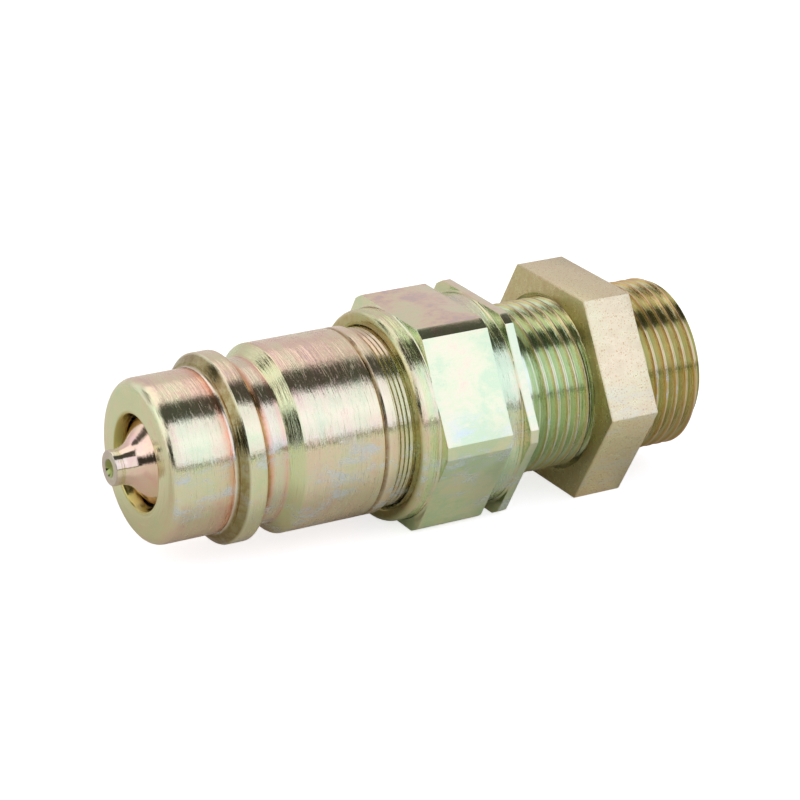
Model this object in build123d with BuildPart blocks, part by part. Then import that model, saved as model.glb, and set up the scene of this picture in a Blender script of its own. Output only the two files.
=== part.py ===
from build123d import *
from math import radians, sqrt, tan
import os

# Male plug of a push-pull hydraulic quick coupler, bulkhead version.
# The axis of the coupler is the X axis, from the plug's nose towards the tube end. The origin is on the
# axis, midway along the whole length. Two flats of each hexagon are level, and the part lies on them.

# Nose, collar and ball groove of the plug
nose_radius = 10.25
nose_length = 8.6
nose_edge_radius = 1.5
ledge_height = 0.55
collar_radius = 11.87
collar_lead = 0.8
collar_length = 2.25
collar_edge = 0.15
ball_radius = 1.6
groove_depth = 1.47
groove_floor = 2.05
groove_ramp_angle = 45.0

# Barrel, neck and threaded tail of the plug
barrel_radius = 11.88
barrel_length = 12.95
barrel_edge = 0.15
mark_width = 0.65
mark_depth = 0.3
mark_from_end = 1.4
neck_radius = 11.4
neck_length = 2.3
neck_ring_count = 3
neck_ring_pitch = 0.6
neck_ring_depth = 0.15
tail_radius = 11.0
tail_length = 8.8

# Mouth, valve seat and bore of the plug
mouth_radius = 6.1
throat_radius = 5.55
throat_depth = 1.1
throat_length = 0.5
seat_angle = 45.0
chamber_radius = 7.9
chamber_depth = 19.0
guide_bore_radius = 8.4

# Valve poppet
tip_projection = 3.5
tip_radius = 2.2
tip_edge = 0.2
tip_straight = 0.9
flare_radius = 3.0
flare_angle = 50.0
centre_hole_radius = 1.15
centre_hole_depth = 1.2
poppet_gap = 0.25
seal_lip = 0.55
seal_contact_radius = 6.1
flange_radius = 6.5
flange_length = 1.5
spring_boss_radius = 3.4
spring_boss_length = 1.5
stem_radius = 2.25
stem_overhang = 2.0

# Poppet seal, spring, stem guide and snap ring
seal_wire_radius = 0.75
seal_squeeze_gap = 0.03
spring_wire_radius = 0.6
spring_turns = 5
spring_boss_clearance = 0.2
spring_end_clearance = 0.05
guide_hub_radius = 5.2
guide_hub_length = 4.2
guide_hub_front = 0.8
guide_rim_width = 1.15
guide_rim_length = 2.6
guide_arm_width = 2.2
guide_arm_count = 3
guide_bore_clearance = 0.05
guide_rim_clearance = 0.05
snap_thickness = 1.1
snap_width = 1.05
snap_groove_depth = 0.6
snap_groove_clearance = 0.1
snap_gap_angle = 50.0

# Bulkhead adapter; the lock nut is sawn from the same hexagon bar, a size that suits the thread
hex_wall = 2.5
hex_corner_cut = 0.46
turning_cut = 0.05
front_edge_radius = 0.8
front_mouth_radius = 0.6
front_band_length = 2.6
shoulder_radius = 0.35
hex_length = 9.3
hex_groove_length = 2.55
seat_flange_length = 1.2
neck_clearance = 0.1
counterbore_depth = 1.8
relief_cut = 1.15
relief_length = 2.6
thread_radius = 11.0
thread_pitch = 1.5
thread_flank_angle = 30.0
thread_length = 27.6
thread_lead_angle = 45.0
thread_end_chamfer = 0.7
through_radius = 6.0
port_mouth_radius = 8.5
port_cone_angle = 12.0
tube_radius = 7.5
tube_depth = 7.0

# Lock nut
nut_thickness = 7.0
nut_gap = 10.6
nut_edge = 0.15
nut_bore_clearance = 0.05
nut_countersink = 0.5

# Seal ring at the end of the plug's tail
body_seal_wire_radius = 0.75

# Stations along the axis, each worked out from the one before
collar_front = nose_length + collar_lead
collar_back = collar_front + collar_length
groove_radius = collar_radius - groove_depth
groove_arc_length = sqrt(ball_radius**2 - (ball_radius - groove_depth) ** 2)
groove_floor_front = collar_back + groove_arc_length
groove_floor_back = groove_floor_front + groove_floor
ramp_length = (barrel_radius - groove_radius) / tan(radians(groove_ramp_angle))
barrel_front = groove_floor_back + ramp_length
barrel_back = barrel_front + barrel_length
adapter_front = barrel_back + neck_length
tail_front = adapter_front + counterbore_depth
tail_back = tail_front + tail_length
hex_front = adapter_front + front_band_length
hex_back = hex_front + hex_length
seat_flange_front = hex_back + hex_groove_length
panel_seat = seat_flange_front + seat_flange_length
adapter_back = panel_seat + thread_length
nut_front = panel_seat + nut_gap
overall_length = tip_projection + adapter_back

# The stations above count from the nose face, which lies here
nose_face = tip_projection - overall_length / 2


def x(station):
    """Place on the X axis of a station counted from the nose face."""
    return nose_face + station


# Plug body: one turning with nose, collar, ball groove, barrel, ringed neck and threaded tail
seat_front = throat_depth + throat_length
seat_back = seat_front + (chamber_radius - throat_radius) / tan(radians(seat_angle))
tail_chamfer = body_seal_wire_radius / (1 - sqrt(0.5))
ledge_radius = nose_radius + ledge_height
mark_front = barrel_back - mark_from_end - mark_width
snap_groove_front = chamber_depth + guide_rim_length
snap_groove_back = snap_groove_front + snap_thickness + snap_groove_clearance
snap_groove_radius = guide_bore_radius + snap_groove_depth

with BuildPart() as plug_body:
    with BuildSketch(Plane.XZ):
        with BuildLine():
            Polyline(
                (x(tail_back), 0),
                (x(0), 0),
                (x(0), nose_radius),
                (x(nose_length) - ledge_height, nose_radius),
            )
            RadiusArc(
                (x(nose_length) - ledge_height, nose_radius),
                (x(nose_length), ledge_radius),
                -ledge_height,
            )
            Polyline(
                (x(nose_length), ledge_radius),
                (x(collar_front), collar_radius - collar_edge),
                (x(collar_front) + collar_edge, collar_radius),
                (x(collar_back), collar_radius),
            )
            RadiusArc(
                (x(collar_back), collar_radius),
                (x(groove_floor_front), groove_radius),
                -ball_radius,
            )
            Polyline(
                (x(groove_floor_front), groove_radius),
                (x(groove_floor_back), groove_radius),
                (x(barrel_front), barrel_radius),
                (x(mark_front), barrel_radius),
                (x(mark_front) + mark_width / 2, barrel_radius - mark_depth),
                (x(mark_front) + mark_width, barrel_radius),
                (x(barrel_back) - barrel_edge, barrel_radius),
                (x(barrel_back), barrel_radius - barrel_edge),
                (x(barrel_back), neck_radius),
                (x(tail_front), neck_radius),
                (x(tail_front), tail_radius),
                (x(tail_back) - tail_chamfer, tail_radius),
                (x(tail_back), tail_radius - tail_chamfer),
                (x(tail_back), 0),
            )
        make_face()
    revolve(axis=Axis.X)
    nose_edge = plug_body.edges().filter_by(GeomType.CIRCLE).group_by(Axis.X)[0]
    fillet(nose_edge, nose_edge_radius)
    with BuildSketch(Plane.XZ):
        for ring in range(neck_ring_count):
            ring_front = x(barrel_back) + neck_ring_pitch * (ring + 0.5)
            with BuildLine():
                Polyline(
                    (ring_front, neck_radius),
                    (ring_front + neck_ring_pitch / 2, neck_radius - neck_ring_depth),
                    (ring_front + neck_ring_pitch, neck_radius),
                    close=True,
                )
            make_face()
    revolve(axis=Axis.X, mode=Mode.SUBTRACT)
    with BuildSketch(Plane.XZ):
        with BuildLine():
            Polyline(
                (x(tail_back), 0),
                (x(0), 0),
                (x(0), mouth_radius),
                (x(throat_depth), throat_radius),
                (x(seat_front), throat_radius),
                (x(seat_back), chamber_radius),
                (x(chamber_depth), chamber_radius),
                (x(chamber_depth), guide_bore_radius),
                (x(snap_groove_front), guide_bore_radius),
                (x(snap_groove_front), snap_groove_radius),
                (x(snap_groove_back), snap_groove_radius),
                (x(snap_groove_back), guide_bore_radius),
                (x(tail_back), guide_bore_radius),
                close=True,
            )
        make_face()
    revolve(axis=Axis.X, mode=Mode.SUBTRACT)
    mouth_edge = plug_body.edges().filter_by(GeomType.CIRCLE).group_by(Axis.X)[0].sort_by(SortBy.RADIUS)[0]
    fillet(mouth_edge, throat_depth / 3)
plug_body.part.label = "plug_body"

# Poppet seal: a ring of round section that meets the conical seat at the contact radius
contact_station = seat_front + (seal_contact_radius - throat_radius) / tan(radians(seat_angle))
seal_offset = seal_wire_radius + seal_squeeze_gap
seal_centre = contact_station + seal_offset * sqrt(0.5)
seal_ring_radius = seal_contact_radius - seal_offset * sqrt(0.5)

with BuildPart() as poppet_seal:
    with BuildSketch(Plane.XZ):
        with Locations((x(seal_centre), seal_ring_radius)):
            Circle(seal_wire_radius)
    revolve(axis=Axis.X)
poppet_seal.part.label = "poppet_seal"

# Poppet: tip, trumpet flare, lip, seal groove, flange, spring boss and stem in one turning
seal_groove_front = seal_centre - seal_wire_radius
seal_groove_back = seal_centre + seal_wire_radius
seal_groove_radius = seal_ring_radius - seal_wire_radius
flange_back = seal_groove_back + flange_length
lip_front = seal_groove_front - seal_lip
lip_radius = throat_radius - poppet_gap
flare_front = tip_straight - tip_projection
guide_hub_start = chamber_depth - guide_hub_front
guide_hub_end = guide_hub_start + guide_hub_length
stem_back = guide_hub_end + stem_overhang

with BuildPart() as poppet:
    with BuildSketch(Plane.XZ):
        with BuildLine():
            Polyline(
                (x(stem_back), 0),
                (x(-tip_projection), 0),
                (x(-tip_projection), tip_radius - tip_edge),
                (x(-tip_projection) + tip_edge, tip_radius),
                (x(flare_front), tip_radius),
            )
            flare = JernArc(
                start=(x(flare_front), tip_radius),
                tangent=(1, 0),
                radius=flare_radius,
                arc_size=flare_angle,
            )
            Polyline(
                flare @ 1,
                (x(lip_front), lip_radius),
                (x(seal_groove_front), lip_radius),
                (x(seal_groove_front), seal_groove_radius),
                (x(seal_groove_back), seal_groove_radius),
                (x(seal_groove_back), flange_radius),
                (x(flange_back), flange_radius),
                (x(flange_back), spring_boss_radius),
                (x(flange_back) + spring_boss_length, spring_boss_radius),
                (x(flange_back) + spring_boss_length, stem_radius),
                (x(stem_back), stem_radius),
                (x(stem_back), 0),
            )
        make_face()
    revolve(axis=Axis.X)
    with BuildSketch(Plane.XZ):
        with BuildLine():
            Polyline(
                (x(-tip_projection), 0),
                (x(-tip_projection), centre_hole_radius),
                (x(-tip_projection) + centre_hole_depth, 0),
                close=True,
            )
        make_face()
    revolve(axis=Axis.X, mode=Mode.SUBTRACT)
poppet.part.label = "poppet"

# Poppet spring: round wire between the poppet's flange and the guide's hub
spring_mean_radius = spring_boss_radius + spring_boss_clearance + spring_wire_radius
spring_end = spring_wire_radius + spring_end_clearance
spring_front = flange_back + spring_end
spring_height = guide_hub_start - spring_end - spring_front

with BuildPart() as poppet_spring:
    with BuildLine() as spring_path:
        Helix(
            pitch=spring_height / spring_turns,
            height=spring_height,
            radius=spring_mean_radius,
            center=(x(spring_front), 0, 0),
            direction=(1, 0, 0),
        )
    with BuildSketch(Plane(origin=spring_path.line @ 0, z_dir=spring_path.line % 0)):
        Circle(spring_wire_radius)
    sweep(path=spring_path.line, is_frenet=True)
poppet_spring.part.label = "poppet_spring"

# Stem guide: a hub on three arms in a rim, seated on the step at the back of the chamber
guide_rim_outer = guide_bore_radius - guide_rim_clearance
guide_rim_inner = guide_rim_outer - guide_rim_width

with BuildPart() as stem_guide:
    with BuildSketch(Plane.YZ.offset(x(guide_hub_start))):
        Circle(guide_hub_radius)
        Circle(stem_radius + guide_bore_clearance, mode=Mode.SUBTRACT)
    extrude(amount=guide_hub_length)
    with BuildSketch(Plane.YZ.offset(x(chamber_depth))):
        Circle(guide_rim_outer)
        Circle(guide_rim_inner, mode=Mode.SUBTRACT)
        with PolarLocations((guide_hub_radius + guide_rim_inner) / 2, guide_arm_count):
            Rectangle(guide_rim_inner - guide_hub_radius + guide_rim_width, guide_arm_width)
    extrude(amount=guide_rim_length)
stem_guide.part.label = "stem_guide"

# Snap ring: an open ring sprung into its groove behind the guide's rim
snap_outer_radius = snap_groove_radius - snap_groove_clearance

with BuildPart() as guide_snap_ring:
    with BuildSketch(Plane.YZ.offset(x(snap_groove_front))):
        Circle(snap_outer_radius)
        Circle(snap_outer_radius - snap_width, mode=Mode.SUBTRACT)
        with BuildLine():
            Polyline(
                (0, 0),
                (-guide_bore_radius * tan(radians(snap_gap_angle / 2)) * 2, -guide_bore_radius * 2),
                (guide_bore_radius * tan(radians(snap_gap_angle / 2)) * 2, -guide_bore_radius * 2),
                close=True,
            )
        make_face(mode=Mode.SUBTRACT)
    extrude(amount=snap_thickness)
guide_snap_ring.part.label = "guide_snap_ring"

# Body seal: a ring of round section in the corner between the tail's chamfer and the adapter's shoulder
with BuildPart() as body_seal:
    with BuildSketch(Plane.XZ):
        with Locations((x(tail_back) - body_seal_wire_radius, tail_radius - body_seal_wire_radius)):
            Circle(body_seal_wire_radius)
    revolve(axis=Axis.X)
body_seal.part.label = "body_seal"

# Bulkhead adapter: hexagon bar, turned at the front band and the groove, with a long thread and cone port
counterbore_radius = neck_radius + neck_clearance
thread_front = panel_seat + relief_length
thread_lead = relief_cut / tan(radians(thread_lead_angle))
thread_start = x(thread_front) + thread_lead
thread_end = x(adapter_back) - thread_end_chamfer
thread_rings = int((thread_end - thread_start) / thread_pitch)
thread_depth = thread_pitch * sqrt(3) / 2 * 17 / 24
ring_groove_mouth = thread_pitch * 7 / 8
ring_groove_root = ring_groove_mouth - 2 * thread_depth * tan(radians(thread_flank_angle))
cone_length = (port_mouth_radius - tube_radius) / tan(radians(port_cone_angle))
hex_inner_radius = thread_radius + hex_wall
hex_corner_radius = hex_inner_radius * 2 / sqrt(3) - hex_corner_cut
turned_radius = hex_inner_radius - turning_cut
relief_radius = thread_radius - relief_cut

with BuildPart() as bulkhead_body:
    with BuildSketch(Plane.YZ.offset(x(adapter_front))):
        RegularPolygon(hex_inner_radius, 6, major_radius=False)
    extrude(amount=panel_seat - adapter_front)
    with BuildSketch(Plane.XZ):
        with BuildLine():
            Polyline(
                (x(panel_seat), 0),
                (x(adapter_front), 0),
                (x(adapter_front), turned_radius - front_edge_radius),
            )
            RadiusArc(
                (x(adapter_front), turned_radius - front_edge_radius),
                (x(adapter_front) + front_edge_radius, turned_radius),
                front_edge_radius,
            )
            Line(
                (x(adapter_front) + front_edge_radius, turned_radius),
                (x(hex_front) - shoulder_radius, turned_radius),
            )
            RadiusArc(
                (x(hex_front) - shoulder_radius, turned_radius),
                (x(hex_front), turned_radius + shoulder_radius),
                -shoulder_radius,
            )
            Polyline(
                (x(hex_front), turned_radius + shoulder_radius),
                (x(hex_front), hex_corner_radius),
                (x(hex_back), hex_corner_radius),
                (x(hex_back), turned_radius),
                (x(seat_flange_front) - shoulder_radius, turned_radius),
            )
            RadiusArc(
                (x(seat_flange_front) - shoulder_radius, turned_radius),
                (x(seat_flange_front), turned_radius + shoulder_radius),
                -shoulder_radius,
            )
            Polyline(
                (x(seat_flange_front), turned_radius + shoulder_radius),
                (x(seat_flange_front), hex_corner_radius),
                (x(panel_seat), hex_corner_radius),
                (x(panel_seat), 0),
            )
        make_face()
    revolve(axis=Axis.X, mode=Mode.INTERSECT)
    with BuildSketch(Plane.XZ):
        with BuildLine():
            Polyline(
                (x(adapter_back), 0),
                (x(hex_back), 0),
                (x(hex_back), relief_radius),
                (x(thread_front), relief_radius),
                (thread_start, thread_radius),
                (thread_end, thread_radius),
                (x(adapter_back), thread_radius - thread_end_chamfer),
                close=True,
            )
        make_face()
    revolve(axis=Axis.X)
    # The thread has its true section, but in closed rings a pitch apart
    with BuildSketch(Plane.XZ):
        for ring in range(thread_rings):
            ring_groove = thread_start + thread_pitch * (ring + 0.5)
            with BuildLine():
                Polyline(
                    (ring_groove - ring_groove_mouth / 2, thread_radius),
                    (ring_groove - ring_groove_root / 2, thread_radius - thread_depth),
                    (ring_groove + ring_groove_root / 2, thread_radius - thread_depth),
                    (ring_groove + ring_groove_mouth / 2, thread_radius),
                    close=True,
                )
            make_face()
    revolve(axis=Axis.X, mode=Mode.SUBTRACT)
    with BuildSketch(Plane.XZ):
        with BuildLine():
            Polyline(
                (x(adapter_back), 0),
                (x(adapter_front), 0),
                (x(adapter_front), counterbore_radius + front_mouth_radius),
            )
            RadiusArc(
                (x(adapter_front), counterbore_radius + front_mouth_radius),
                (x(adapter_front) + front_mouth_radius, counterbore_radius),
                -front_mouth_radius,
            )
            Polyline(
                (x(adapter_front) + front_mouth_radius, counterbore_radius),
                (x(tail_front), counterbore_radius),
                (x(tail_front), tail_radius),
                (x(tail_back), tail_radius),
                (x(tail_back), through_radius),
                (x(adapter_back) - tube_depth, through_radius),
                (x(adapter_back) - tube_depth, tube_radius),
                (x(adapter_back) - cone_length, tube_radius),
                (x(adapter_back), port_mouth_radius),
                (x(adapter_back), 0),
            )
        make_face()
    revolve(axis=Axis.X, mode=Mode.SUBTRACT)
bulkhead_body.part.label = "bulkhead_body"

# Lock nut: a slice of hexagon bar with its edges broken and a bore countersunk at both faces
nut_bore_radius = thread_radius + nut_bore_clearance

with BuildPart() as lock_nut:
    with BuildSketch(Plane.YZ.offset(x(nut_front))):
        RegularPolygon(hex_inner_radius, 6, major_radius=False)
    extrude(amount=nut_thickness)
    chamfer(lock_nut.edges(), nut_edge)
    with BuildSketch(Plane.YZ.offset(x(nut_front))):
        Circle(nut_bore_radius)
    extrude(amount=nut_thickness, mode=Mode.SUBTRACT)
    bore_edges = lock_nut.edges().filter_by(GeomType.CIRCLE)
    chamfer(bore_edges, nut_countersink)
lock_nut.part.label = "lock_nut"

os.makedirs("parts", exist_ok=True)
export_step(plug_body.part, "parts/plug_body.step")
export_step(poppet.part, "parts/poppet.step")
export_step(poppet_seal.part, "parts/poppet_seal.step")
export_step(poppet_spring.part, "parts/poppet_spring.step")
export_step(stem_guide.part, "parts/stem_guide.step")
export_step(guide_snap_ring.part, "parts/guide_snap_ring.step")
export_step(body_seal.part, "parts/body_seal.step")
export_step(bulkhead_body.part, "parts/bulkhead_body.step")
export_step(lock_nut.part, "parts/lock_nut.step")
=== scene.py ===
from math import ceil, cos, degrees, pi, radians, sin, tan

import bpy
from mathutils import Matrix, Vector


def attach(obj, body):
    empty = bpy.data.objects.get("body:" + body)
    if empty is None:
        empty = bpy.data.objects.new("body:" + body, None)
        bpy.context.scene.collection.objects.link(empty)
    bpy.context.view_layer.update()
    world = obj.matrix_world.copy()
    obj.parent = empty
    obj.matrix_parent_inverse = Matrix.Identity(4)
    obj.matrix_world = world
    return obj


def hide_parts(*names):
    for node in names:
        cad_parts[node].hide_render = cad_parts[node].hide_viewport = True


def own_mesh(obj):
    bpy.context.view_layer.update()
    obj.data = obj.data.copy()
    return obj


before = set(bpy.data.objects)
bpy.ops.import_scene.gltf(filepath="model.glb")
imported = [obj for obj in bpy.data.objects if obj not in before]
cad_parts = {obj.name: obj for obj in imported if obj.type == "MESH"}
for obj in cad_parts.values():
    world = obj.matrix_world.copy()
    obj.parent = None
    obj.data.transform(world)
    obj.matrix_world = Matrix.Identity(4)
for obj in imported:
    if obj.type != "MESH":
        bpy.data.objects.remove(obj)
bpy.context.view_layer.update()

MM = 0.001

# Stations along the axis in millimetres, counted from the plug's nose face, and where that face lies
NOSE_FACE = -35.88735
POPPET_TIP = -3.5
THROAT_FRONT = 1.1
THROAT_BACK = 1.6
SEAT_BACK = 3.95
NOSE_BACK = 8.6
COLLAR_FRONT = 9.4
COLLAR_BACK = 11.65
GROOVE_FRONT = 13.2447
GROOVE_BACK = 15.2947
BARREL_FRONT = 16.7747
GUIDE_STEP = 19.0
SNAP_FRONT = 21.6
SNAP_BACK = 22.8
BARREL_BACK = 29.7247
ADAPTER_FRONT = 32.0247
TAIL_FRONT = 33.8247
HEX_FRONT = 34.6247
TAIL_BACK = 42.6247
HEX_BACK = 43.9247
FLANGE_FRONT = 46.4747
PANEL_SEAT = 47.6747
SHANK_START = 51.0
NUT_FRONT = 58.2747
NUT_BACK = 65.2747
ADAPTER_BACK = 75.2747

# Radii of the plug and of the adapter in millimetres
THROAT = 5.55
MOUTH = 6.1
CHAMBER = 7.9
GUIDE_BORE = 8.4
SNAP_GROOVE = 9.0
NOSE = 10.25
GROOVE = 10.4
BALL = 1.6
COLLAR = 11.87
BARREL = 11.88
NECK = 11.4
TAIL = 11.0
THROUGH_BORE = 6.0
TUBE_BORE = 7.5
RELIEF = 9.85
COUNTERBORE = 11.5
BAND = 13.45
HEX_CORNER = 15.128

# M22 x 1.5 thread: pitch, crest and root radius, and where a crest passes the top of the shank
PITCH = 1.5
CREST = 11.0
ROOT = 10.08
CREST_STATION = 51.4

# From the axis to a flat of the hexagons, and the floor that the lowest flats lie on
FLAT = 13.5
FLOOR = -13.5

# A turned edge that is only broken, and a finer one, in millimetres
EDGE = 0.05
FINE_EDGE = 0.04

# How far a cutting tool stands out past the piece that it cuts
PAST = 1

# Points closer than this, in metres, are one: on a mesh, and on an outline that is being drawn
WELD = 1e-7
OUTLINE_WELD = 2e-6


def x(station):
    """Place on the X axis, in metres, of a station in millimetres."""
    return (NOSE_FACE + station) * MM


# ---- modelling ----


def deselect():
    bpy.ops.object.select_all(action="DESELECT")


def make_active(piece):
    deselect()
    piece.select_set(True)
    bpy.context.view_layer.objects.active = piece


def new_piece(name):
    """Names the primitive that was just added, and its mesh."""
    piece = bpy.context.object
    piece.name = name
    piece.data.name = name
    return piece


def weld_all(threshold=WELD):
    """In edit mode, merges the doubles of the whole mesh."""
    bpy.ops.mesh.select_all(action="SELECT")
    bpy.ops.mesh.remove_doubles(threshold=threshold)


def rounded(corners, closed=True):
    """Points of an outline whose corners (station, radius, rounding) are rounded by that much."""
    points = []
    count = len(corners)
    for i, (station, radius, rounding) in enumerate(corners):
        here = Vector((station, radius))
        inner = closed or 0 < i < count - 1
        if not rounding or not inner:
            points.append(here)
            continue
        before = Vector(corners[i - 1][:2]) - here
        after = Vector(corners[(i + 1) % count][:2]) - here
        half = before.angle(after) / 2
        # Where a side is too short for the rounding, the rounding takes half of that side
        shorter = min(before.length, after.length)
        reach = rounding / tan(half)
        if reach >= shorter * 0.999:
            reach = shorter * 0.499
        bend = reach * tan(half)
        start = here + before.normalized() * reach
        middle = here + (before.normalized() + after.normalized()).normalized() * (bend / sin(half))
        sweep = pi - 2 * half
        # A step for every 15 degrees, and at least two
        steps = max(2, ceil(degrees(sweep) / 15))
        turn = 1 if before.x * after.y - before.y * after.x < 0 else -1
        for k in range(steps + 1):
            arm = start - middle
            arm.rotate(Matrix.Rotation(turn * sweep * k / steps, 2))
            points.append(middle + arm)
    return points


def arc(centre, radius, first, last, steps):
    """Corners along an arc about a centre (station, radius), from one angle to another in degrees."""
    angles = [radians(first + (last - first) * k / steps) for k in range(steps + 1)]
    return [(centre[0] + radius * cos(a), centre[1] + radius * sin(a), 0) for a in angles]


def outline(name, points, closed):
    """A chain of edges through points (station, radius), drawn in the plane above the axis."""
    deselect()
    bpy.ops.mesh.primitive_plane_add(size=MM)
    piece = new_piece(name)
    bpy.ops.object.mode_set(mode="EDIT")
    bpy.ops.mesh.select_all(action="SELECT")
    bpy.ops.mesh.merge(type="CENTER")
    places = [Vector((x(station), 0, radius * MM)) for station, radius in points]
    bpy.ops.transform.translate(value=places[0])
    if closed:
        places.append(places[0])
    for a, b in zip(places, places[1:]):
        bpy.ops.mesh.extrude_vertices_move(TRANSFORM_OT_translate={"value": b - a})
    weld_all(OUTLINE_WELD)
    return piece


def tidy_mesh(piece):
    """Merges doubles, drops loose points and turns all normals outward."""
    make_active(piece)
    bpy.ops.object.mode_set(mode="EDIT")
    weld_all()
    bpy.ops.mesh.delete_loose()
    bpy.ops.mesh.select_all(action="SELECT")
    bpy.ops.mesh.normals_make_consistent(inside=False)
    bpy.ops.object.mode_set(mode="OBJECT")


def lathe(name, corners, segments=192):
    """A turned solid from its closed half section."""
    piece = outline(name, rounded(corners), closed=True)
    bpy.ops.mesh.select_all(action="SELECT")
    bpy.ops.mesh.spin(steps=segments, angle=2 * pi, center=(0, 0, 0), axis=(1, 0, 0))
    weld_all()
    bpy.ops.object.mode_set(mode="OBJECT")
    tidy_mesh(piece)
    return piece


def hexagon_bar(name, front, back):
    """A hexagonal prism with two level flats, between two stations."""
    deselect()
    bpy.ops.mesh.primitive_cylinder_add(
        vertices=6,
        radius=FLAT / cos(radians(30)) * MM,
        depth=(back - front) * MM,
        location=((x(front) + x(back)) / 2, 0, 0),
        rotation=(0, pi / 2, 0),
    )
    piece = new_piece(name)
    bpy.ops.object.transform_apply(location=True, rotation=True, scale=True)
    return piece


def combine(piece, tool, how):
    """Joins, cuts or trims a piece with a tool, which is used up."""
    make_active(piece)
    bpy.ops.object.modifier_add(type="BOOLEAN")
    change = piece.modifiers[-1]
    change.operation = how
    change.object = tool
    change.solver = "EXACT"
    bpy.ops.object.modifier_apply(modifier=change.name)
    bpy.data.objects.remove(tool)
    tidy_mesh(piece)


def soften(piece, width):
    """Breaks the sharp edges of a piece by a small width in millimetres."""
    make_active(piece)
    bpy.ops.object.modifier_add(type="BEVEL")
    change = piece.modifiers[-1]
    change.width = width * MM
    change.segments = 2
    change.limit_method = "ANGLE"
    change.angle_limit = radians(22)
    change.use_clamp_overlap = True
    bpy.ops.object.modifier_apply(modifier=change.name)


def wind(piece, pitch, turns, steps):
    """Winds the active piece's outline round the axis, a pitch in millimetres further each turn."""
    bpy.ops.object.modifier_add(type="SCREW")
    change = piece.modifiers[-1]
    change.axis = "X"
    change.angle = 2 * pi
    change.screw_offset = pitch * MM
    change.iterations = turns
    change.steps = steps
    change.render_steps = steps
    change.use_merge_vertices = True
    change.merge_threshold = WELD
    bpy.ops.object.modifier_apply(modifier=change.name)


def threaded_rod(name, front, turns, grow=0.0):
    """A solid rod with the M22 x 1.5 thread, in phase with the shank, made larger all over by grow."""
    # A crest is an eighth of the pitch wide, and growing moves the flanks out square to themselves
    flank = tan(radians(30))
    half_crest = PITCH / 16 + grow / cos(radians(30)) - grow * flank
    crest = CREST + grow
    root = ROOT + grow
    half_root = PITCH / 2 - half_crest - (crest - root) * flank
    profile = [
        (front, crest, 0),
        (front + half_crest, crest, 0.05),
        (front + PITCH / 2 - half_root, root, 0.1),
        (front + PITCH / 2 + half_root, root, 0.1),
        (front + PITCH - half_crest, crest, 0.05),
        (front + PITCH, crest, 0),
    ]
    piece = outline(name, rounded(profile, closed=False), closed=False)
    bpy.ops.object.mode_set(mode="OBJECT")
    make_active(piece)
    wind(piece, PITCH, turns, 96)
    bpy.ops.object.mode_set(mode="EDIT")
    weld_all()
    # Both ends are cut square where the thread is whole all round, and closed
    for place, outward in ((front + PITCH * 1.1, -1), (front + PITCH * (turns - 0.1), 1)):
        bpy.ops.mesh.select_all(action="SELECT")
        bpy.ops.mesh.bisect(
            plane_co=(x(place), 0, 0),
            plane_no=(outward, 0, 0),
            use_fill=True,
            clear_outer=True,
            threshold=WELD,
        )
    bpy.ops.object.mode_set(mode="OBJECT")
    tidy_mesh(piece)
    return piece


def finish_piece(piece, body, stands_for):
    """Smooths a finished piece, lets it ride on its body and stand for its CAD node."""
    make_active(piece)
    bpy.ops.object.shade_smooth_by_angle(angle=radians(30))
    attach(piece, body)
    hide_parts(stands_for)


# Plug body: nose, collar, ball groove, barrel with its mark, ringed neck, tail and stepped bore
LEDGE = 10.82
COLLAR_CHAMFER = 0.15
RING_DEPTH = 0.15
RING_STEP = 0.3
MARK_FRONT = 27.6747
MARK_BACK = 28.3247
MARK_DEPTH = 0.3
BARREL_CHAMFER = 0.15
TAIL_CHAMFER = 2.5607
neck_rings = [
    (BARREL_BACK + RING_STEP * k, NECK if k % 2 else NECK - RING_DEPTH, 0.03) for k in range(1, 8)
]
plug_corners = [
    (0, MOUTH, 0.36),
    (0, NOSE, 1.5),
    (NOSE_BACK, NOSE, 0.55),
    (NOSE_BACK, LEDGE, 0.06),
    (COLLAR_FRONT, COLLAR - COLLAR_CHAMFER, FINE_EDGE),
    (COLLAR_FRONT + COLLAR_CHAMFER, COLLAR, 0.06),
    (COLLAR_BACK, COLLAR, EDGE),
    *arc((GROOVE_FRONT, GROOVE + BALL), BALL, 184.6, 268, 12),
    (GROOVE_FRONT, GROOVE, 0),
    (GROOVE_BACK, GROOVE, 0.2),
    (BARREL_FRONT, BARREL, 0.25),
    (MARK_FRONT, BARREL, FINE_EDGE),
    ((MARK_FRONT + MARK_BACK) / 2, BARREL - MARK_DEPTH, EDGE),
    (MARK_BACK, BARREL, FINE_EDGE),
    (BARREL_BACK - BARREL_CHAMFER, BARREL, EDGE),
    (BARREL_BACK, BARREL - BARREL_CHAMFER, EDGE),
    (BARREL_BACK, NECK, EDGE),
    *neck_rings,
    (TAIL_FRONT, NECK, EDGE),
    (TAIL_FRONT, TAIL, 0),
    (TAIL_BACK - TAIL_CHAMFER, TAIL, EDGE),
    (TAIL_BACK, TAIL - TAIL_CHAMFER, 0),
    (TAIL_BACK, GUIDE_BORE, 0),
    (SNAP_BACK, GUIDE_BORE, FINE_EDGE),
    (SNAP_BACK, SNAP_GROOVE, 0),
    (SNAP_FRONT, SNAP_GROOVE, 0),
    (SNAP_FRONT, GUIDE_BORE, FINE_EDGE),
    (GUIDE_STEP, GUIDE_BORE, 0),
    (GUIDE_STEP, CHAMBER, FINE_EDGE),
    (SEAT_BACK, CHAMBER, 0),
    (THROAT_BACK, THROAT, EDGE),
    (THROAT_FRONT, THROAT, 0.2),
]
plug = lathe("plug_body_turned", plug_corners)

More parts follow.
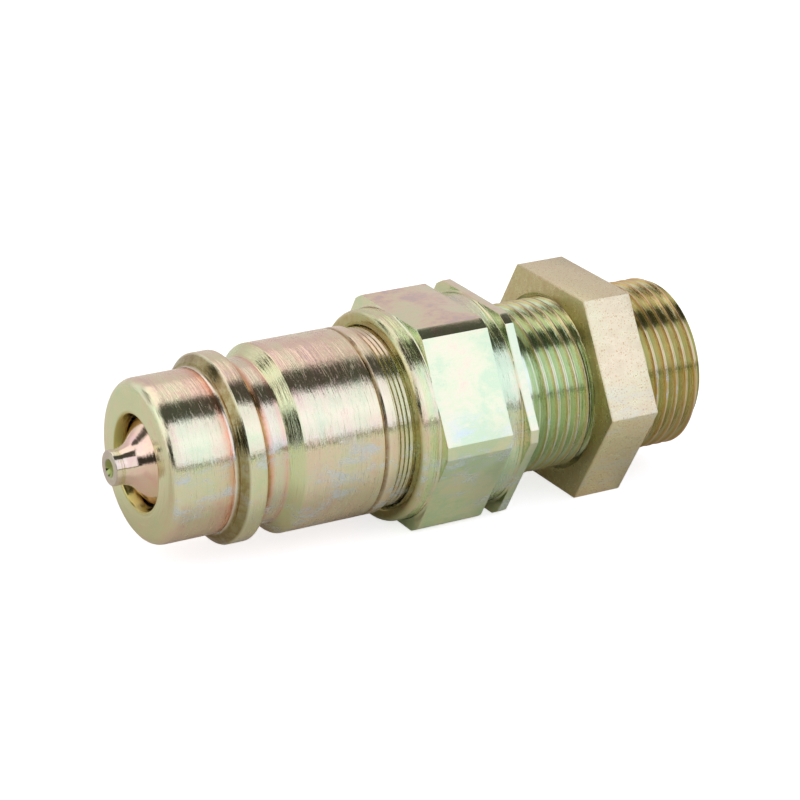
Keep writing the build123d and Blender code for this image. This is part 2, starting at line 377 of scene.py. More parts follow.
# Poppet: tip with its centre hole, trumpet flare, lip, seal groove, flange, spring boss and stem
CENTRE_HOLE = 1.15
CENTRE_HOLE_DEPTH = 1.2
TIP = 2.2
TIP_LENGTH = 0.9
FLARE = 3
LIP = 5.3
LIP_FRONT = 1.4015
SEAL_FRONT = 1.9515
SEAL_BACK = 3.4515
SEAL_FLOOR = 4.7985
POPPET_FLANGE = 6.5
POPPET_FLANGE_BACK = 4.9515
BOSS = 3.4
BOSS_BACK = 6.4515
STEM = 2.25
STEM_BACK = 24.4
poppet_corners = [
    (POPPET_TIP + CENTRE_HOLE_DEPTH, 0, 0),
    (POPPET_TIP, CENTRE_HOLE, EDGE),
    (POPPET_TIP, TIP, 0.15),
    *arc((POPPET_TIP + TIP_LENGTH, TIP + FLARE), FLARE, 270, 320, 10),
    (LIP_FRONT, LIP, EDGE),
    (SEAL_FRONT, LIP, EDGE),
    (SEAL_FRONT, SEAL_FLOOR, EDGE),
    (SEAL_BACK, SEAL_FLOOR, EDGE),
    (SEAL_BACK, POPPET_FLANGE, EDGE),
    (POPPET_FLANGE_BACK, POPPET_FLANGE, 0.1),
    (POPPET_FLANGE_BACK, BOSS, 0.1),
    (BOSS_BACK, BOSS, 0.1),
    (BOSS_BACK, STEM, 0.1),
    (STEM_BACK, STEM, 0.2),
    (STEM_BACK, 0, 0),
]
poppet = lathe("poppet_turned", poppet_corners, segments=128)

# Bulkhead adapter: hexagon bar turned at the band and the groove, with a cut thread on its shank
adapter_corners = [
    (ADAPTER_FRONT, 0, 0),
    (ADAPTER_FRONT, BAND, 0.8),
    (HEX_FRONT, BAND, 0.35),
    (HEX_FRONT, HEX_CORNER, 0.08),
    (HEX_BACK, HEX_CORNER, 0.08),
    (HEX_BACK, BAND, EDGE),
    (FLANGE_FRONT, BAND, 0.35),
    (FLANGE_FRONT, HEX_CORNER, 0.08),
    (PANEL_SEAT, HEX_CORNER, 0.08),
    (PANEL_SEAT, RELIEF, 0.15),
    (SHANK_START, RELIEF, 0),
    (SHANK_START, 0, 0),
]
adapter = lathe("bulkhead_body_cut", adapter_corners)
combine(adapter, hexagon_bar("bar", ADAPTER_FRONT - 2 * PAST, SHANK_START + 2 * PAST), "INTERSECT")
soften(adapter, 0.08)
# The shank's envelope lets the thread run out at the relief and gives its end a lead
RUN_OUT = 50.0247
ENVELOPE = 11.2
ENVELOPE_FRONT = 9.6
ENVELOPE_START = 49.5
LEAD = 0.9
shank = threaded_rod("shank", CREST_STATION - 3 * PITCH, 22)
envelope_corners = [
    (ENVELOPE_START, 0, 0),
    (ENVELOPE_START, ENVELOPE_FRONT, 0),
    (RUN_OUT, ENVELOPE_FRONT, 0),
    (RUN_OUT + ENVELOPE - ENVELOPE_FRONT, ENVELOPE, 0),
    (ADAPTER_BACK - LEAD, ENVELOPE, 0),
    (ADAPTER_BACK, ENVELOPE - LEAD, EDGE),
    (ADAPTER_BACK, 0, 0),
]
combine(shank, lathe("envelope", envelope_corners), "INTERSECT")
combine(adapter, shank, "UNION")
# Counterbore and thread hole for the plug's tail, through bore, tube bore and 24 degree cone
MOUTH_ROUNDING = 0.6
TUBE_DEPTH = 7
CONE_DEPTH = 4.7046
CONE_MOUTH = 8.5
adapter_bore_corners = [
    (ADAPTER_FRONT - PAST, 0, 0),
    (ADAPTER_FRONT - PAST, COUNTERBORE + MOUTH_ROUNDING, 0),
    (ADAPTER_FRONT, COUNTERBORE + MOUTH_ROUNDING, 0),
    *arc((ADAPTER_FRONT + MOUTH_ROUNDING, COUNTERBORE + MOUTH_ROUNDING), MOUTH_ROUNDING, 180, 270, 6),
    (TAIL_FRONT, COUNTERBORE, 0),
    (TAIL_FRONT, TAIL, 0),
    (TAIL_BACK, TAIL, 0),
    (TAIL_BACK, THROUGH_BORE, 0.1),
    (ADAPTER_BACK - TUBE_DEPTH, THROUGH_BORE, 0.1),
    (ADAPTER_BACK - TUBE_DEPTH, TUBE_BORE, 0.1),
    (ADAPTER_BACK - CONE_DEPTH, TUBE_BORE, 0.1),
    (ADAPTER_BACK, CONE_MOUTH, EDGE),
    (ADAPTER_BACK + PAST, CONE_MOUTH + 0.1, 0),
    (ADAPTER_BACK + PAST, 0, 0),
]
combine(adapter, lathe("adapter_bore", adapter_bore_corners), "DIFFERENCE")

# Lock nut: a sawn slice of the bar with broken edges and the mating thread
NUT_BORE = 10.188
NUT_MOUTH = 12.55
nut_mouth_depth = NUT_MOUTH - NUT_BORE - PAST
nut = hexagon_bar("lock_nut_cut", NUT_FRONT, NUT_BACK)
soften(nut, 0.15)
nut_bore_corners = [
    (NUT_FRONT - PAST, 0, 0),
    (NUT_FRONT - PAST, NUT_MOUTH, 0),
    (NUT_FRONT + nut_mouth_depth, NUT_BORE, 0),
    (NUT_BACK - nut_mouth_depth, NUT_BORE, 0),
    (NUT_BACK + PAST, NUT_MOUTH, 0),
    (NUT_BACK + PAST, 0, 0),
]
combine(nut, lathe("nut_bore", nut_bore_corners), "DIFFERENCE")
combine(nut, threaded_rod("nut_thread", CREST_STATION + 2 * PITCH, 9, grow=0.04), "DIFFERENCE")

# Valve spring: five turns of round wire between the poppet's flange and the guide's hub
SPRING_FRONT = 5.6015
SPRING_BACK = 17.55
SPRING_TURNS = 5
COIL = 4.2
WIRE = 0.6
deselect()
bpy.ops.mesh.primitive_circle_add(
    vertices=16,
    radius=WIRE * MM,
    location=(x(SPRING_FRONT), 0, COIL * MM),
    rotation=(pi / 2, 0, 0),
)
spring = new_piece("poppet_spring_coil")
bpy.ops.object.transform_apply(location=True, rotation=True, scale=True)
wind(spring, (SPRING_BACK - SPRING_FRONT) / SPRING_TURNS, SPRING_TURNS, 48)
bpy.ops.object.mode_set(mode="EDIT")
weld_all()
bpy.ops.mesh.fill_holes(sides=0)
bpy.ops.object.mode_set(mode="OBJECT")
tidy_mesh(spring)

finish_piece(plug, "coupler", "plug_body")
finish_piece(poppet, "valve", "poppet")
finish_piece(adapter, "coupler", "bulkhead_body")
finish_piece(nut, "nut", "lock_nut")
finish_piece(spring, "coupler", "poppet_spring")
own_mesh(spring)


# ---- materials ----

TIMES = {"operation": "MULTIPLY"}
SMOOTH = {"interpolation_type": "SMOOTHSTEP"}

# Sockets of a Mix node that mixes colours
SHARE, FIRST, SECOND, MIXED = 0, 6, 7, 2
MIX = {"out": MIXED, "data_type": "RGBA"}


def srgb(code):
    """Linear colour of an sRGB hex code."""
    parts = [int(code[i : i + 2], 16) / 255 for i in (1, 3, 5)]
    return (*(c / 12.92 if c <= 0.04045 else ((c + 0.055) / 1.055) ** 2.4 for c in parts), 1)


def add(tree, kind, sockets=(), out=0, stops=(), **settings):
    """A new node's output. Its sockets are filled or linked in order, or by the keys of a dict.

    stops are (place from 0 to 1, hex code or grey value) on a colour ramp.
    """
    node = tree.nodes.new("ShaderNode" + kind)
    for name, value in settings.items():
        setattr(node, name, value)
    for key, value in sockets.items() if isinstance(sockets, dict) else enumerate(sockets):
        if isinstance(value, bpy.types.NodeSocket):
            tree.links.new(value, node.inputs[key])
        else:
            node.inputs[key].default_value = value
    if stops:
        made = node.color_ramp.elements
        made.remove(made[-1])
        for i, (place, colour) in enumerate(stops):
            stop = made.new(place) if i else made[0]
            stop.position = place
            stop.color = srgb(colour) if isinstance(colour, str) else (colour, colour, colour, 1)
    return node.outputs[out]


def patterns(tree, table, places, seed=0.0):
    """Noise patterns by name, from a table.

    Each row has a place, a size in millimetres, a stretch along each axis, detail, roughness,
    distortion and a number of its own. A blotch is as wide as the size, divided by the stretch.
    """
    made = {}
    for name, (place, size, stretch, detail, roughness, distortion, number) in table.items():
        shift = seed + number
        scaled = add(
            tree,
            "Mapping",
            {
                "Vector": places[place],
                "Location": (shift, shift * 0.7, shift * 1.3),
                "Scale": [k / (size * MM) for k in stretch],
            },
        )
        made[name] = add(
            tree,
            "TexNoise",
            {
                "Vector": scaled,
                "Scale": 1.0,
                "Detail": detail,
                "Roughness": roughness,
                "Distortion": distortion,
            },
        )
    return made


# Tints of yellow chromate on zinc, from the thin film's green through straw to pink and mauve
FILM = [
    (0.0, "#C6E6BC"),
    (0.25, "#DFEBC2"),
    (0.45, "#EAEAC6"),
    (0.62, "#F0E2C4"),
    (0.8, "#F0CFBE"),
    (1.0, "#D6B8C0"),
]
DRIED_PASSIVATE = "#DCEAF6"
THICK_FILM_SPECK = "#C0925A"

EVEN = (1, 1, 1)

# Nearly all of a noise pattern's values lie between these
LEAST, MOST = 0.3, 0.7

# Patterns of the plated steel: what they are counted along, size in millimetres, stretch along each
# axis, detail, roughness, distortion and a number of their own
CHROMATE_PATTERNS = {
    # The film is thicker and thinner in rings, in clouds and in small spots
    "rings": ("turned", 2.0, (1, 0.12, 0.12), 4, 0.65, 0, 3),
    "clouds": ("part", 7, EVEN, 3, 0.6, 0.5, 11),
    "spots": ("part", 1.0, (0.7, 1, 1), 4, 0.7, 0.3, 29),
    # The tool leaves grooves, a slower chatter and a few narrow cuts, and handling leaves hairlines.
    # Grooves and hairlines are drawn at about 0.3 mm, coarser than the real ones, so that they show
    "grooves": ("turned", 0.3, (1, 0.06, 0.06), 3, 0.7, 0, 41),
    "chatter": ("turned", 0.9, (1, 0.08, 0.08), 2, 0.6, 0, 47),
    "cuts": ("turned", 0.5, (1, 0.09, 0.09), 2, 0.6, 0, 59),
    "hairs": ("turned", 0.26, (1, 0.16, 0.16), 2, 0.6, 0, 67),
    # Scuffs are strokes drawn out along the part, in a few regions only
    "strokes": ("part", 2.8, (0.6, 1.5, 1.5), 6, 0.72, 0.4, 53),
    "regions": ("part", 9, (0.8, 1, 1), 3, 0.6, 0, 61),
    # Pin-head specks, and the pits that make plating satin, drawn coarser than they are to show
    "specks": ("part", 0.2, EVEN, 1, 0.5, 0, 71),
    "pits": ("part", 0.3, EVEN, 3, 0.6, 0, 83),
}

# Heights in metres of what tilts the surface
GROOVE_HEIGHT = 0.07 * MM
CHATTER_HEIGHT = 0.08 * MM
CUT_HEIGHT = 0.012 * MM
PIT_HEIGHT = 0.02 * MM


def chromate(
    name,
    along,
    facing,
    deep=(),
    spread=0.5,
    seed=0.0,
    rough=0.13,
    marks=1.0,
    scuffs=1.0,
    grain=0.0,
    satin=0.4,
):
    """Iridescent yellow chromate on zinc.

    along holds (station, tint, share of the tint, depth of the turning marks). facing holds a film
    thickness, from 0 to 1, by how far a face looks up, from -1 to 1: a painted tint of light that
    changes with how far a face looks up. deep holds radii in millimetres and the tint that each adds,
    which in a bore or hole can darken the deeper part as painted shade.
    """
    material = bpy.data.materials.new(name)
    material.use_nodes = True
    tree = material.node_tree
    shader = tree.nodes["Principled BSDF"].inputs
    shader["Metallic"].default_value = 1
    place = add(tree, "TexCoord", out="Object")
    normal = add(tree, "TexCoord", out="Normal")
    station, level, upright = (add(tree, "SeparateXYZ", (place,), out=axis) for axis in "XYZ")
    spoke = add(tree, "CombineXYZ", {"Y": level, "Z": upright})
    radius = add(tree, "VectorMath", (spoke,), out="Value", operation="LENGTH")
    # A tool leaves rings along a turned side and round a faced end, so both count along the rings
    feed = add(tree, "Math", (station, add(tree, "Math", (radius, 0.8), **TIMES)))
    turned = add(tree, "CombineXYZ", (feed, level, upright))
    made = patterns(tree, CHROMATE_PATTERNS, {"turned": turned, "part": place}, seed)

    # Rows along the axis: a tint, its share and how deep the turning marks are
    front, back = along[0][0], along[-1][0]
    run = add(tree, "MapRange", (station, x(front), x(back), 0.0, 1.0))
    at = [(row[0] - front) / (back - front) for row in along]
    tints = add(tree, "ValToRGB", (run,), stops=[(a, row[1]) for a, row in zip(at, along)])
    shares = add(tree, "ValToRGB", (run,), stops=[(a, row[2]) for a, row in zip(at, along)])
    # A ramp holds no value above 1, so it has half the depth
    depth = add(tree, "ValToRGB", (run,), stops=[(a, row[3] / 2) for a, row in zip(at, along)])
    depth = add(tree, "Math", (depth, 2 * marks), **TIMES)

    # Film thickness: a painted tint of light by how far a face looks up, then rings where the part is
    # turned, clouds and spots
    upward = add(tree, "SeparateXYZ", (normal,), out="Z")
    upward = add(tree, "MapRange", (upward, -1, 1, 0.0, 1.0))
    painted_light_by_facing = add(tree, "ValToRGB", (upward,), stops=[((f + 1) / 2, film) for f, film in facing])
    swing = 0.45 * spread
    rings = add(tree, "MapRange", (made["rings"], LEAST, MOST, -swing, swing), **SMOOTH)
    film = add(tree, "Math", (add(tree, "Math", (rings, depth), **TIMES), painted_light_by_facing))
    swing = 0.5 * spread
    clouds = add(tree, "MapRange", (made["clouds"], LEAST, MOST, -swing, swing), **SMOOTH)
    film = add(tree, "Math", (film, clouds))
    swing = 0.25 * spread
    spots = add(tree, "MapRange", (made["spots"], LEAST, MOST, -swing, swing), **SMOOTH)
    film = add(tree, "Math", (film, spots), use_clamp=True)
    colour = add(tree, "ValToRGB", (film,), stops=FILM)
    patchy = add(tree, "MapRange", (made["spots"], 0.35, 0.65, 0.85, 1.08), **SMOOTH)
    shares = add(tree, "Math", (shares, patchy), use_clamp=True, **TIMES)
    colour = add(tree, "Mix", {SHARE: shares, FIRST: colour, SECOND: tints}, **MIX)
    if deep:
        inner, outer = deep[0][0], deep[-1][0]
        rise = add(tree, "MapRange", (radius, inner * MM, outer * MM, 0.0, 1.0))
        stops = [((r - inner) / (outer - inner), tint) for r, tint in deep]
        added = add(tree, "ValToRGB", (rise,), stops=stops)
        sockets = {SHARE: 1.0, FIRST: colour, SECOND: added}
        colour = add(tree, "Mix", sockets, blend_type="MULTIPLY", **MIX)

    # Grooves hold more film, so they are a little darker
    stain = add(tree, "MapRange", (made["grooves"], 0.25, 0.5, 0.92, 1.0), **SMOOTH)
    sockets = {SHARE: 1.0, FIRST: colour, SECOND: stain}
    stained = add(tree, "Mix", sockets, blend_type="MULTIPLY", **MIX)
    colour = add(tree, "Mix", {SHARE: depth, FIRST: colour, SECOND: stained}, **MIX)

    # Hairlines round the turned sides scatter light
    roughness = add(tree, "MapRange", (made["spots"], LEAST, MOST, rough * 0.75, rough * 1.3))
    hairs = add(tree, "MapRange", (made["hairs"], 0.55, 0.68, 0.0, 1.0), **SMOOTH)
    hairs = add(tree, "Math", (hairs, depth), use_clamp=True, **TIMES)
    dull = add(tree, "Math", (hairs, 0.2), **TIMES)
    roughness = add(tree, "Math", (roughness, dull))

    # Scuffs and dried passivate: pale, bluish and dull, on the lower sides but not on the ends or
    # in the bores
    endwise = add(tree, "SeparateXYZ", (normal,), out="X")
    endwise = add(tree, "Math", (endwise,), operation="ABSOLUTE")
    sides = add(tree, "MapRange", (endwise, 0.5, 0.9, 1.0, 0.0), **SMOOTH)
    outside = add(tree, "MapRange", (radius, 8.5 * MM, 9.5 * MM, 0.0, 1.0), **SMOOTH)
    outside = add(tree, "Math", (sides, outside), **TIMES)
    low = add(tree, "MapRange", (upright, 1 * MM, 5 * MM, 1.0, 0.0), **SMOOTH)
    low = add(tree, "Math", (low, outside), **TIMES)
    strokes = add(tree, "MapRange", (made["strokes"], 0.45, 0.62, 0.0, 1.0), **SMOOTH)
    regions = add(tree, "MapRange", (made["regions"], 0.4, 0.54, 0.0, 1.0), **SMOOTH)
    scuff = add(tree, "Math", (strokes, regions), **TIMES)
    scuff = add(tree, "Math", (scuff, low), **TIMES)
    scuff = add(tree, "Math", (scuff, scuffs * 0.75), use_clamp=True, **TIMES)
    sockets = {SHARE: scuff, FIRST: colour, SECOND: srgb(DRIED_PASSIVATE)}
    colour = add(tree, "Mix", sockets, **MIX)
    dull = add(tree, "MapRange", (scuff, 0.0, 1.0, 0.0, 0.3))
    roughness = add(tree, "Math", (roughness, dull))

    if grain:
        speck = add(tree, "MapRange", (made["specks"], 0.6, 0.7, 0.0, grain), **SMOOTH)
        sockets = {SHARE: speck, FIRST: colour, SECOND: srgb(THICK_FILM_SPECK)}
        colour = add(tree, "Mix", sockets, **MIX)

    # The turning marks, where there are any, and the pits tilt the surface
    grooves = add(tree, "Math", (made["grooves"], GROOVE_HEIGHT), **TIMES)
    chatter = add(tree, "Math", (made["chatter"], CHATTER_HEIGHT), **TIMES)
    cuts = add(tree, "MapRange", (made["cuts"], 0.56, 0.61, 0.0, 1.0), **SMOOTH)
    cuts = add(tree, "Math", (cuts, CUT_HEIGHT), **TIMES)
    height = add(tree, "Math", (add(tree, "Math", (grooves, chatter)), cuts))
    height = add(tree, "Math", (height, depth), **TIMES)
    pits = add(tree, "Math", (made["pits"], PIT_HEIGHT * satin), **TIMES)
    height = add(tree, "Math", (height, pits))
    tree.links.new(colour, shader["Base Color"])
    tree.links.new(roughness, shader["Roughness"])
    tree.links.new(add(tree, "Bump", {"Distance": 1.0, "Height": height}), shader["Normal"])
    return material


def plain(name, colour, metallic, rough, size):
    """A hidden piece's finish: blotches and pits of a size in millimetres vary colour and gloss."""
    material = bpy.data.materials.new(name)
    material.use_nodes = True
    tree = material.node_tree
    shader = tree.nodes["Principled BSDF"].inputs
    shader["Metallic"].default_value = metallic
    table = {
        "blotch": ("part", size, EVEN, 3, 0.6, 0, 5),
        "pits": ("part", size * 0.2, EVEN, 2, 0.5, 0, 9),
    }
    made = patterns(tree, table, {"part": add(tree, "TexCoord", out="Object")})
    light = srgb(colour)
    dark = (*(0.7 * part for part in light[:3]), 1)
    share = add(tree, "MapRange", (made["blotch"], LEAST, MOST, 0.0, 1.0), **SMOOTH)
    colour = add(tree, "Mix", {SHARE: share, FIRST: dark, SECOND: light}, **MIX)
    sockets = (made["blotch"], LEAST, MOST, rough * 0.8, rough * 1.2)
    gloss = add(tree, "MapRange", sockets, **SMOOTH)
    bump = add(tree, "Bump", {"Distance": 0.002 * MM, "Height": made["pits"]})
    tree.links.new(colour, shader["Base Color"])
    tree.links.new(gloss, shader["Roughness"])
    tree.links.new(bump, shader["Normal"])
    return material


# Plug: turned, so its gloss is drawn out into fine streaks across the rings. Orange before the collar
# and in the groove's front arc, olive lead cone, pink foot of the ramp, straw barrel with a mark whose
# groove is painted dark brown as painted shade, tan and green neck darkened towards the adapter as
# painted shade, and a golden mouth darkened towards the throat as painted shade
plug_finish = chromate(
    "plug_turned_yellow_chromate",
    along=[
        (0, "#D2D8AC", 0.32, 0.5),
        (0.8, "#E6E8CC", 0.35, 0.5),
        (1.6, "#E6E8CC", 0.4, 0.8),
        (5, "#EAEBCC", 0.3, 1.0),
        (6.8, "#EBCDB4", 0.4, 1.0),
        (8.0, "#E79A74", 0.85, 1.0),
        (8.25, "#F2E6D8", 0.8, 0.4),
        (8.5, "#8A7A44", 0.85, 0.5),
        (9.3, "#8A7A44", 0.85, 0.5),
        (9.5, "#E8E8C8", 0.7, 0.4),
        (9.9, "#DCE4BC", 0.3, 0.8),
        (11.4, "#DDE6BC", 0.3, 0.8),
        (11.8, "#C98E60", 0.8, 0.6),
        (12.7, "#CC8A5C", 0.8, 0.6),
        (13.1, "#F0B49A", 0.7, 0.8),
        (13.5, "#E8E0CC", 0.55, 1.0),
        (14.4, "#E6DCC8", 0.55, 1.0),
        (15.1, "#F0BCAC", 0.7, 0.7),
        (15.5, "#CCE0A4", 0.55, 0.5),
        (16.7, "#D2E0AA", 0.45, 0.5),
        (17.2, "#F4E2CE", 0.4, 1.1),
        (24, "#F2E4CC", 0.4, 1.1),
        (27.5, "#EEE0C0", 0.4, 0.9),
        (27.8, "#F2D08C", 0.7, 0.4),
        # The mark's groove is painted dark brown: painted shade in the groove
        (28.0, "#7C5A30", 0.85, 0.3),
        (28.2, "#8A6A3C", 0.7, 0.3),
        (28.4, "#F4E8D0", 0.6, 0.6),
        (29.6, "#E6D8B4", 0.5, 0.9),
        (30.4, "#D6C6A4", 0.6, 0.9),
        # From here the neck is painted darker towards the adapter: painted shade where the parts meet
        (31.4, "#CCD6A8", 0.5, 0.9),
        (33.0, "#A8906A", 0.7, 0.8),
    ],
    # The tint by facing is painted light: pinker on faces that look up or down than on the sides
    facing=[(-1, 0.7), (-0.5, 0.62), (-0.1, 0.42), (0.45, 0.4), (0.75, 0.52), (1, 0.7)],
    # By radius, the mouth goes from golden to dark towards the throat: golden film with painted shade
    # in the recess
    deep=[(5.5, "#968048"), (6.1, "#DCCF9C"), (6.5, "#FFFFFF")],
    spread=0.38,
    seed=2.0,
    scuffs=1.1,
)
# Poppet: turned finer, so glossier and pink-white, with thin green film in the centre hole, painted
# darker towards its bottom as painted shade
poppet_finish = chromate(
    "poppet_turned_yellow_chromate",
    along=[
        (-3.5, "#BFC8C4", 0.6, 0.3),
        (-3.3, "#DCE2CC", 0.5, 0.3),
        (-2.0, "#F4E4D4", 0.5, 0.2),
        (-0.5, "#F6D6CC", 0.6, 0.2),
        (0.9, "#F2C6B4", 0.6, 0.2),
        (1.4, "#D8BC90", 0.7, 0.3),
        (3.0, "#D8BC90", 0.7, 0.3),
    ],
    facing=[(-1, 0.6), (1, 0.6)],
    # By radius, the centre hole is green and darker towards its bottom: green film with painted shade
    # in the hole
    deep=[(0.0, "#7E9A5C"), (1.05, "#B0CC8C"), (1.25, "#F4F4F0"), (2.6, "#FFFFFF")],
    seed=5.0,
    rough=0.07,
    scuffs=0.3,
)
# Adapter: coarse turned band in cream, pink and green stripes, drawn flats with no rings, mint groove.
# By its radius, the thread has pale roots and flanks and a thin golden line beside its pink crests
adapter_finish = chromate(
    "adapter_turned_yellow_chromate",
    along=[
        # Dark olive on the front face and into the counterbore, where the plug's neck enters: olive
        # film with painted shade between the parts
        (32.0, "#A89450", 0.75, 0.3),
        (32.3, "#D6CFA0", 0.6, 0.6),
        (32.8, "#EEDCC0", 0.6, 1.5),
        (33.3, "#DDE6AC", 0.6, 1.5),
        (33.9, "#E6E8B4", 0.5, 1.5),
        (34.3, "#F0D8C4", 0.6, 1.2),
        (34.7, "#E8EDD0", 0.4, 0.0),
        (36.0, "#ECEFD2", 0.35, 0.0),
        (43.6, "#EAEED0", 0.35, 0.0),
        (44.0, "#D6EACC", 0.6, 1.0),
        (46.0, "#E0EAD0", 0.5, 1.0),
        (46.4, "#D8B890", 0.45, 0.4),
        (46.7, "#EFEBD4", 0.5, 0.0),
        (47.6, "#E4EAD4", 0.5, 0.3),
        (48.0, "#DDF0DC", 0.7, 0.4),
        (50.2, "#DCEEDC", 0.8, 0.5),
        (58.0, "#E0EED8", 0.8, 0.5),
        (65.0, "#DCD6B6", 0.9, 0.5),
        (75.3, "#D8CFAC", 0.9, 0.5),
    ],
    # The tint by facing is painted light: the top flat pink and mauve, the lower flats green
    facing=[(-1, 0.4), (-0.5, 0.08), (0.5, 0.22), (0.8, 0.3), (0.95, 0.35), (1, 0.74)],
    deep=[
        (9.9, "#FFFFFF"),
        (10.1, "#E8EAD4"),
        (10.6, "#F2F4E4"),
        (10.8, "#F2DCA0"),
        (10.93, "#F8DCC8"),
        (11.2, "#FFFFFF"),
    ],
    spread=0.65,
    seed=8.0,
    rough=0.12,
    scuffs=0.9,
)
# Nut: barrel plated, so satin and even, with pin-head specks where the film is thick
nut_finish = chromate(
    "nut_satin_yellow_chromate",
    along=[
        (58.2, "#B8A870", 0.8, 0.0),
        (58.6, "#E8E0BA", 0.8, 0.0),
        (65.3, "#E8E0BA", 0.8, 0.0),
    ],
    facing=[(-1, 0.5), (1, 0.5)],
    seed=13.0,
    rough=0.3,
    marks=0.0,
    scuffs=0.4,
    grain=0.6,
    satin=1.6,
)
# Spring: drawn wire, grey and half glossy. Guide: turned and zinc plated, straw. Snap ring: phosphated,
# dark and matt. Seals: moulded nitrile rubber, black and matt
spring_finish = plain("drawn_spring_wire", "#8C8A86", 1.0, 0.3, 3)
guide_finish = plain("zinc_plated_guide", "#C6BE9E", 1.0, 0.25, 4)
ring_finish = plain("phosphated_snap_ring", "#4A4A4C", 1.0, 0.45, 2)
seal_finish = plain("nitrile_rubber", "#1E1E1F", 0.0, 0.5, 2)
for piece, finish in (
    (plug, plug_finish),
    (poppet, poppet_finish),
    (adapter, adapter_finish),
    (nut, nut_finish),
    (spring, spring_finish),
):
    piece.data.materials.clear()
    piece.data.materials.append(finish)
for name, finish in (
    ("poppet_seal", seal_finish),
    ("body_seal", seal_finish),
    ("stem_guide", guide_finish),
    ("guide_snap_ring", ring_finish),
):
    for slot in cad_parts[name].material_slots:
        slot.material = finish

# ---- floor, light and camera ----

# The camera sees a white floor with the part's shadow. To other rays, such as reflections in the
# plating, it is pale and warm, and duller beside the part, which shades a real table there
FLOOR_SIDE = 4
FLOOR_WHITE = srgb("#E7E7E7")
FLOOR_NEAR = srgb("#E5DECB")
FLOOR_FAR = srgb("#FFFDEC")
WHITE = srgb("#FFFFFF")
deselect()
bpy.ops.mesh.primitive_plane_add(size=FLOOR_SIDE, location=(0, 0, FLOOR * MM))
floor = bpy.context.object
floor.name = "floor"
floor_finish = bpy.data.materials.new("pale_floor")
floor_finish.use_nodes = True
tree = floor_finish.node_tree
tree.nodes.clear()
place = add(tree, "TexCoord", out="Object")
aside = add(tree, "Math", (add(tree, "SeparateXYZ", (place,), out="Y"),), operation="ABSOLUTE")
far = add(tree, "MapRange", (aside, 8 * MM, 24 * MM, 0.0, 1.0), **SMOOTH)
warm = add(tree, "Mix", {SHARE: far, FIRST: FLOOR_NEAR, SECOND: FLOOR_FAR}, **MIX)
matt = add(tree, "BsdfDiffuse", {"Color": warm})
matt_white = add(tree, "BsdfDiffuse", {"Color": FLOOR_WHITE})
glow = add(tree, "Emission", {"Color": WHITE, "Strength": 0.7})
white = add(tree, "AddShader", (matt_white, glow))
seen = add(tree, "LightPath", out="Is Camera Ray")
shown = add(tree, "MixShader", (seen, matt, white))
tree.links.new(shown, tree.nodes.new("ShaderNodeOutputMaterial").inputs["Surface"])
floor.data.materials.append(floor_finish)

# The studio is drawn in the world, as panels of light and dark round the part. A panel reaches from
# west to east, as the X of a direction, and from low to high, in degrees round the X axis: 0 is level
# in front, 90 overhead and 180 level behind. Then come its colour and the width of its soft edges
STUDIO = (0.69, 0.62, 0.62, 1)
PANELS = (
    # Soft light behind, on the nose's side
    (-2, -0.25, 100, 170, (1.0, 0.95, 1.0), 0.2, 8),
    # Dark ceiling, seen as the dark band along the turned sides
    (-2, 2, 60, 106, (0.075, 0.075, 0.062), 0.1, 9),
    # Softbox above and behind
    (-0.62, 0.34, 99, 136, (1.2, 1.1, 1.1), 0.08, 4),
    # Softbox high on the nose's side, and the dark gap below it
    (-1.2, -0.69, 67, 140, (1.2, 1.15, 1.2), 0.05, 6),
    (-0.74, -0.43, 128, 151, (0.1, 0.1, 0.09), 0.04, 4),
    # Front softboxes: one before the nose, one before the tube end with a brighter middle
    (-0.8, 0.1, 10, 66, (0.98, 0.97, 1.08), 0.05, 3),
    (-0.05, 0.95, 10, 69, (1.05, 1.04, 1.24), 0.15, 4),
    (-0.05, 0.95, 30, 46, (1.2, 1.18, 1.4), 0.15, 12),
    # Dark gap on the nose's side, seen as the line behind the nose's rounding
    (-1.2, -0.73, 2, 58, (0.04, 0.04, 0.033), 0.03, 5),
    # The table's far edge, and the dark line above it
    (-0.8, 2, -1, 5, (0.72, 0.74, 0.6), 0.05, 2),
    (-0.8, 2, 3.5, 7.3, (0.1, 0.1, 0.08), 0.05, 0.8),
)
world = bpy.data.worlds.new("studio")
bpy.context.scene.world = world
world.use_nodes = True
tree = world.node_tree
tree.nodes.clear()
direction = add(tree, "TexCoord", out="Generated")
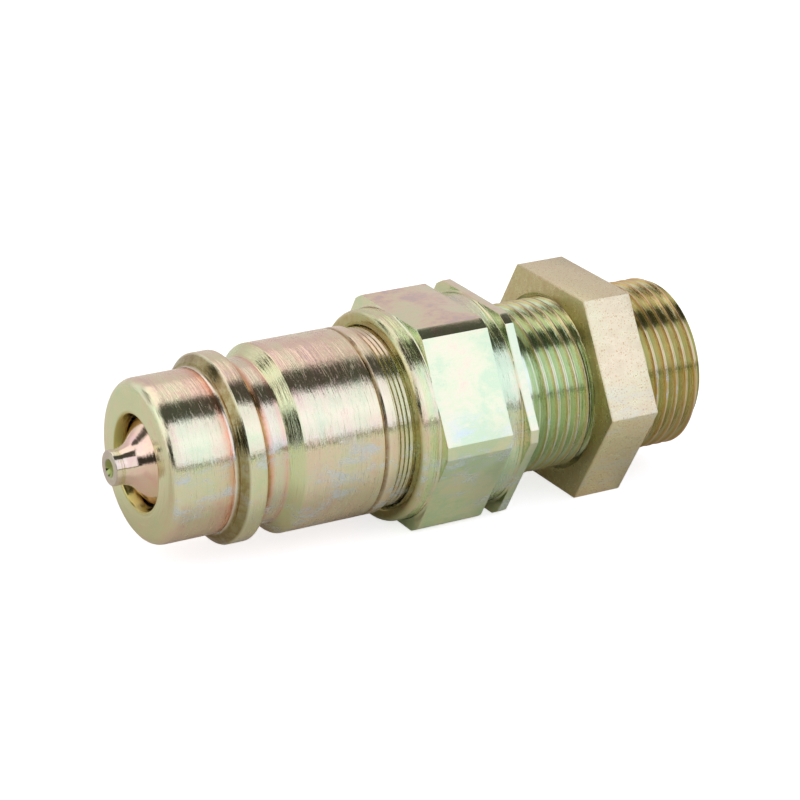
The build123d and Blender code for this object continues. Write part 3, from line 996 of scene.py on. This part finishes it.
side, behind, over = (add(tree, "SeparateXYZ", (direction,), out=axis) for axis in "XYZ")
front = add(tree, "Math", (behind, -1.0), **TIMES)
height = add(tree, "Math", (over, front), operation="ARCTAN2")
height = add(tree, "Math", (height, 180 / pi), **TIMES)
sky = STUDIO
for west, east, low, high, colour, soft_side, soft_height in PANELS:
    within = [
        add(tree, "MapRange", (way, edge - soft, edge + soft, before, 1.0 - before), **SMOOTH)
        for way, edge, soft, before in (
            (side, west, soft_side, 0.0),
            (side, east, soft_side, 1.0),
            (height, low, soft_height, 0.0),
            (height, high, soft_height, 1.0),
        )
    ]
    across = add(tree, "Math", within[:2], **TIMES)
    upright = add(tree, "Math", within[2:], **TIMES)
    share = add(tree, "Math", (across, upright), **TIMES)
    sky = add(tree, "Mix", {SHARE: share, FIRST: sky, SECOND: (*colour, 1)}, **MIX)
seen = add(tree, "LightPath", out="Is Camera Ray")
sky = add(tree, "Mix", {SHARE: seen, FIRST: sky, SECOND: WHITE}, **MIX)
light = add(tree, "Background", {"Color": sky, "Strength": 1.0})
tree.links.new(light, tree.nodes.new("ShaderNodeOutputWorld").inputs["Surface"])

# The camera stands where the photo's outlines put it: its lens, film, place in millimetres and axes
CAMERA_LENS = 134.88
CAMERA_FILM = 36
CAMERA_PLACE = Vector((-176.6, -299.7, 143.5))
CAMERA_RIGHT = Vector((0.8649, -0.5015, 0.0214))
CAMERA_UP = Vector((0.1725, 0.3369, 0.9256))
CAMERA_BACK = Vector((-0.4714, -0.7968, 0.3779))
camera_data = bpy.data.cameras.new("camera")
camera = bpy.data.objects.new("camera", camera_data)
bpy.context.scene.collection.objects.link(camera)
bpy.context.scene.camera = camera
camera_data.lens = CAMERA_LENS
camera_data.sensor_width = CAMERA_FILM
camera_data.clip_start = 0.01
camera_data.clip_end = 20
turn = Matrix((CAMERA_RIGHT, CAMERA_UP, CAMERA_BACK)).transposed().to_4x4()
camera.matrix_world = Matrix.Translation(CAMERA_PLACE * MM) @ turn

bpy.context.scene.view_settings.view_transform = "Standard"
